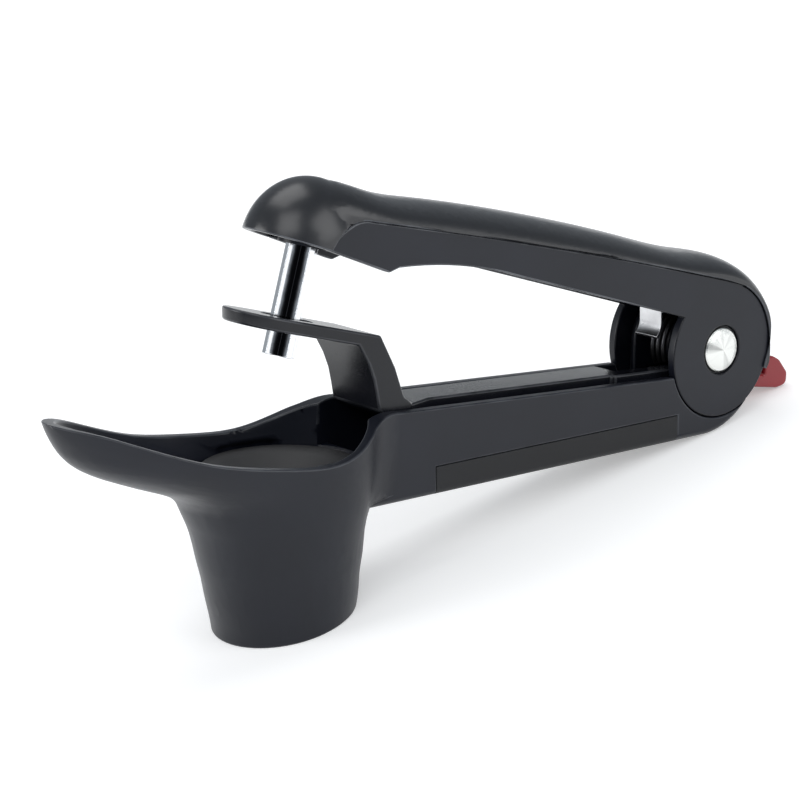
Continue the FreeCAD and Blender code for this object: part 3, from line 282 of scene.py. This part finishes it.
def chromedCross(name, foot, along, look):
    shader = Shader(bpy.data.materials.new(name))
    offset = shader.vector("SUBTRACT", shader.objectSpot(), tuple(foot))
    radius = shader.length(shader.vector("CROSS_PRODUCT", offset, tuple(along)))
    streaks = shader.noise(shader.stretched((1, 1, 14)), scale=2600.0, detail=3.0)
    wander = (shader.noise(shader.objectSpot(), scale=260.0, detail=2.0) - 0.5) * (1.2 * mm)
    # painted shade: the chrome is dark near the rod's axis, in the valleys between the arms of the cross, and
    # light towards the arms' outer edges
    corner = shader.ramp((radius + wander) * (1 / (3.0 * look["flange"] * mm)),
                         (0.0, 0.0), (0.52, 0.06), (0.74, 1.0))
    return shader.finished(Base_Color=shader.mix(corner, look["dark"], look["light"]), Metallic=1.0,
                           Roughness=look["rough"] + streaks * 0.05,
                           Normal=shader.bump(streaks, strength=0.06, distance=0.02 * mm))


chrome = chromedCross("chromedRod", place(*rod["top"]), rodWay, rod)

steels = {
    "coil": {"name": "darkSpringWire", "dark": rgb(0.05, 0.05, 0.055), "light": rgb(0.12, 0.12, 0.125),
             "rough": 0.30, "stretch": (1, 1, 1), "scratch": 0.2},
    "leaf": {"name": "springSteel", "dark": rgb(0.52, 0.52, 0.53), "light": rgb(0.70, 0.70, 0.71),
             "rough": 0.24, "stretch": (8, 1, 1), "scratch": 0.25},
    "plate": {"name": "rolledSteel", "dark": rgb(0.38, 0.38, 0.39), "light": rgb(0.56, 0.56, 0.57),
              "rough": 0.32, "stretch": (6, 1, 1), "scratch": 0.3},
    "screw": {"name": "screwSteel", "dark": rgb(0.34, 0.34, 0.35), "light": rgb(0.52, 0.52, 0.53),
              "rough": 0.28, "stretch": (1, 1, 1), "scratch": 0.2},
}


def drawnSteel(look):
    shader = Shader(bpy.data.materials.new(look["name"]))
    streaks = shader.noise(shader.stretched(look["stretch"]), scale=2600.0, detail=4.0, roughness=0.6)
    cloud = shader.ramp(shader.noise(shader.objectSpot(), scale=240.0, detail=3.0), (0.3, 0.0), (0.7, 1.0))
    return shader.finished(Base_Color=shader.mix(cloud, look["dark"], look["light"]), Metallic=1.0,
                           Roughness=look["rough"] + streaks * 0.10,
                           Normal=shader.bump(streaks, strength=look["scratch"], distance=0.02 * mm))


coilSteel = drawnSteel(steels["coil"])
springSteel = drawnSteel(steels["leaf"])
plateSteel = drawnSteel(steels["plate"])
screwSteel = drawnSteel(steels["screw"])

seat = {"dark": rgb(0.016, 0.016, 0.017), "light": rgb(0.034, 0.034, 0.036), "rough": 0.55}


def softRubber(name, look):
    shader = Shader(bpy.data.materials.new(name))
    bloom = shader.noise(shader.objectSpot(), scale=160.0, detail=4.0)
    grain = shader.noise(shader.objectSpot(), scale=3200.0, detail=2.0)
    return shader.finished(Base_Color=shader.mix(bloom, look["dark"], look["light"]),
                           Roughness=look["rough"] + bloom * 0.15,
                           Normal=shader.bump(grain, strength=0.2, distance=0.05 * mm))


rubber = softRubber("seatRubber", seat)
print("stage: materials made")


def deselectAll():
    if bpy.context.object and bpy.context.object.mode != "OBJECT":
        bpy.ops.object.mode_set(mode="OBJECT")
    bpy.ops.object.select_all(action="DESELECT")


def pick(piece):
    deselectAll()
    piece.select_set(True)
    bpy.context.view_layer.objects.active = piece


def applyModifier(piece, kind, **settings):
    pick(piece)
    modifier = piece.modifiers.new(kind.title(), kind)
    for name, value in settings.items():
        setattr(modifier, name, value)
    bpy.ops.object.modifier_apply(modifier=modifier.name)


def smoothByAngle(piece, degrees):
    pick(piece)
    bpy.ops.object.shade_smooth_by_angle(angle=math.radians(degrees))


def coat(piece, *looks):
    piece.data.materials.clear()
    for look in looks:
        piece.data.materials.append(look)


def workCopy(node, name, dissolve=0, weld=0):
    # dissolve is in degrees and weld in millimetres
    pick(nodes[node])
    bpy.ops.object.duplicate(linked=False)
    piece = bpy.context.object
    piece.name = piece.data.name = name
    for key in list(piece.keys()):
        del piece[key]
    piece.parent = None
    bpy.ops.object.mode_set(mode="EDIT")
    bpy.ops.mesh.select_all(action="SELECT")
    bpy.ops.mesh.remove_doubles(threshold=2e-6)
    if dissolve:
        bpy.ops.mesh.dissolve_limited(angle_limit=math.radians(dissolve))
    if weld:
        bpy.ops.mesh.remove_doubles(threshold=weld * mm)
    bpy.ops.mesh.normals_make_consistent(inside=False)
    bpy.ops.object.mode_set(mode="OBJECT")
    return piece


# angles at which an edge or a corner is rounded, and the least length and face that take it
rounding = {"segments": 3, "sharp": math.radians(32), "corner": math.radians(15), "smooth": 35,
            "shortEdge": 0.7 * mm, "smallFace": 0.15 * mm * mm}


def bevelEdges(piece, isChosen, width, **settings):
    pick(piece)
    bpy.ops.object.mode_set(mode="EDIT")
    bpy.ops.mesh.select_mode(type="EDGE")
    bpy.ops.mesh.select_all(action="DESELECT")
    mesh = bmesh.from_edit_mesh(piece.data)
    for edge in mesh.edges:
        spot = upright @ ((edge.verts[0].co + edge.verts[1].co) / 2) / mm
        if len(edge.link_faces) == 2 and isChosen(edge, spot):
            edge.select = True
    bmesh.update_edit_mesh(piece.data)
    bpy.ops.mesh.bevel(offset=width * mm, **settings)
    bpy.ops.object.mode_set(mode="OBJECT")


def roundCorners(piece, width, behind):
    # corners of an outline that run across the tool, behind a place along it
    def isCorner(edge, spot):
        side = (edge.verts[1].co - edge.verts[0].co).normalized()
        return abs(side.y) > 0.99 and spot.x > behind and edge.calc_face_angle(0) > rounding["corner"]

    bevelEdges(piece, isCorner, width, segments=4, clamp_overlap=True)


def roundLongEdges(piece, width, hidden):
    # edges beside slivers or in the hidden box stay sharp, because a bevel there throws out spikes
    def isLong(edge, spot):
        if hidden and all(low < value < high for low, value, high in zip(hidden[0], spot, hidden[1])):
            return False
        smallestFace = min(face.calc_area() for face in edge.link_faces)
        return (edge.calc_face_angle(0) > rounding["sharp"] and edge.calc_length() > rounding["shortEdge"]
                and smallestFace > rounding["smallFace"])

    bevelEdges(piece, isLong, width, segments=rounding["segments"], clamp_overlap=False, material=1)


# edge rounding in millimetres, finish, and finish of the rounded edges; on the satin, lever, cover and arm
# mouldings that finish is a lighter colour, a painted edge highlight
# hidden is a box in millimetres in the upright tool, round the cup's inner step
dressed = {
    "lower_handle": {"name": "lowerHandleMoulding", "edge": 0.4, "look": satin, "rim": satinEdgeHighlight,
                     "weld": 0.3, "long": True, "hidden": ((-18, -17.2, 12), (19.5, 17.2, 36.6))},
    "lower_grip": {"name": "lowerGripBand", "edge": 0.25, "look": gripLook, "rim": gripLook},
    "cherry_seat": {"name": "cherrySeatRing", "edge": 0.3, "look": rubber, "rim": rubber,
                    "dissolve": 0},
    "upper_lever": {"name": "upperLeverMoulding", "edge": 0.35, "look": leverLook, "rim": leverEdgeHighlight,
                    "weld": 0.05, "clamp": False},
    "upper_cover": {"name": "upperCoverShell", "edge": 0.3, "look": gloss, "rim": coverEdgeHighlight,
                    "weld": 0.1, "long": True},
    "hold_down_arm": {"name": "holdDownArmMoulding", "edge": 0.5, "look": armLook, "rim": armEdgeHighlight,
                      "clamp": False},
    "lock_slider": {"name": "lockSliderTab", "edge": 0.6, "look": burgundy, "rim": burgundy,
                    "clamp": False, "corners": {"width": 1.5, "behind": 138}},
    "slider_keeper": {"name": "sliderKeeperPlate", "edge": 0.15, "look": satin, "rim": satin},
    "punch_rod": {"name": "punchRodCross", "edge": 0.12, "look": chrome, "rim": chrome},
    "punch_holder": {"name": "punchHolderSocket", "edge": 0.25, "look": satin, "rim": satin},
    "press_leaf": {"name": "pressLeafStrip", "edge": 0.10, "look": springSteel, "rim": springSteel},
    "latch_plate": {"name": "latchPlateSteel", "edge": 0.12, "look": plateSteel, "rim": plateSteel},
}
for node, plan in dressed.items():
    piece = workCopy(node, plan["name"], plan.get("dissolve", 0.6), plan.get("weld", 0))
    coat(piece, plan["look"], plan["rim"])
    if "corners" in plan:
        roundCorners(piece, **plan["corners"])
    if "long" in plan:
        roundLongEdges(piece, plan["edge"], plan.get("hidden"))
    else:
        applyModifier(piece, "BEVEL", width=plan["edge"] * mm, segments=rounding["segments"],
                      limit_method="ANGLE", angle_limit=rounding["sharp"],
                      use_clamp_overlap=plan.get("clamp", True), material=1)
    smoothByAngle(piece, rounding["smooth"])
    applyModifier(piece, "WEIGHTED_NORMAL", weight=60, keep_sharp=True)
    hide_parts(node)
    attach(piece, bodyOf[node])
print("stage: moulded and stamped pieces dressed")

# the coil is centred on the pin
spring = workCopy("return_spring", "returnSpringWire")
smoothByAngle(spring, 60)
coat(spring, coilSteel)
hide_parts("return_spring")
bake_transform(spring)
print("stage: spring copied and coloured")

plain = {
    "hinge_pin": pinSteel, "hinge_cap": pinSteel, "hinge_washers": plateSteel, "spring_bush": satin,
    "keeper_screws": screwSteel, "punch_screws": screwSteel,
    "latch_screw": screwSteel, "leaf_rivet": screwSteel,
}
for node, look in plain.items():
    coat(nodes[node], look)
print("stage: small parts coloured")

floorPlan = {"size": 6.0, "tone": rgb(0.84, 0.84, 0.84), "glow": 0.34, "inner": 0.25, "outer": 0.9}
deselectAll()
bpy.ops.mesh.primitive_plane_add(size=floorPlan["size"], location=(0, 0, 0))
floor = bpy.context.object
floor.name = "studioFloor"
paint = Shader(bpy.data.materials.new("studioFloorPaint"))
seen = (paint.node("ShaderNodeLightPath", {}, out="Is Camera Ray")
        + paint.node("ShaderNodeLightPath", {}, out="Is Glossy Ray")
        + paint.node("ShaderNodeLightPath", {}, out="Is Transmission Ray"))
lit = paint.node("ShaderNodeBsdfPrincipled", {}, Base_Color=floorPlan["tone"], Roughness=0.9,
                 Specular_IOR_Level=0.0)
away = paint.length(paint.objectSpot())
fade = paint.node("ShaderNodeMapRange", {"interpolation_type": "SMOOTHSTEP"}, away, floorPlan["inner"],
                  floorPlan["outer"], floorPlan["glow"], 1.0)
glow = paint.node("ShaderNodeEmission", {}, rgb(1, 1, 1), seen * fade)
paint.show(paint.node("ShaderNodeAddShader", {}, lit, glow))
coat(floor, paint.owner)

room = {"sky": rgb(0.86, 0.93, 1.0), "strength": 0.38}
sky = Shader(bpy.data.worlds.new("studioWorld"), "ShaderNodeOutputWorld")
bpy.context.scene.world = sky.owner
daylight = sky.node("ShaderNodeBackground", {}, room["sky"], room["strength"])
white = sky.node("ShaderNodeBackground", {}, rgb(1, 1, 1), 1.0)
sky.show(sky.node("ShaderNodeMixShader", {}, sky.node("ShaderNodeLightPath", {}, out="Is Camera Ray"),
                  daylight, white))

lamps = {
    "rimSoftbox": {"from": (-0.85, 0.45, 0.40), "size": 0.50, "watts": 3.6},
    "keySoftbox": {"from": (-0.50, -0.50, 0.85), "size": 0.70, "watts": 3.6},
    "sideSoftbox": {"from": (0.50, -0.95, 0.50), "size": 0.80, "watts": 4.4},
    "topSoftbox": {"from": (0.10, 0.25, 0.95), "size": 0.70, "watts": 3.4},
}
aim = place(45, 0, 45)
for name, plan in lamps.items():
    deselectAll()
    bpy.ops.object.light_add(type="AREA", location=plan["from"])
    lamp = bpy.context.object
    lamp.name = name
    lamp.data.shape = "SQUARE"
    lamp.data.size = plan["size"]
    lamp.data.energy = plan["watts"]
    lamp.rotation_euler = (aim - Vector(plan["from"])).to_track_quat("-Z", "Y").to_euler()

# in the upright tool's frame, with angles in degrees and lengths in millimetres
view = {"azimuth": -38.59, "height": 14.15, "roll": -0.37, "distance": 472.7, "lens": 99.0,
        "aim": (31.86, 0.0, 41.40)}
azimuth, height, roll = (math.radians(view[key]) for key in ("azimuth", "height", "roll"))
back = Vector((math.sin(azimuth) * math.cos(height), -math.cos(azimuth) * math.cos(height), math.sin(height)))
right = (-back).cross(Vector((0, 0, 1))).normalized()
up = right.cross(-back)
rolledRight = right * math.cos(roll) + up * math.sin(roll)
rolledUp = up * math.cos(roll) - right * math.sin(roll)
eye = Vector(view["aim"]) + back * view["distance"]
turn = Matrix((rolledRight, rolledUp, back)).transposed().to_4x4()
deselectAll()
bpy.ops.object.camera_add()
camera = bpy.context.object
camera.name = "photoCamera"
camera.matrix_world = Matrix.Translation(place(*eye)) @ lean @ turn
camera.data.lens = view["lens"]
camera.data.sensor_width = 36.0
camera.data.sensor_fit = "HORIZONTAL"
camera.data.clip_start = 0.01
bpy.context.scene.camera = camera
bpy.context.scene.view_settings.view_transform = "Standard"
print("stage: floor, lamps and camera set")
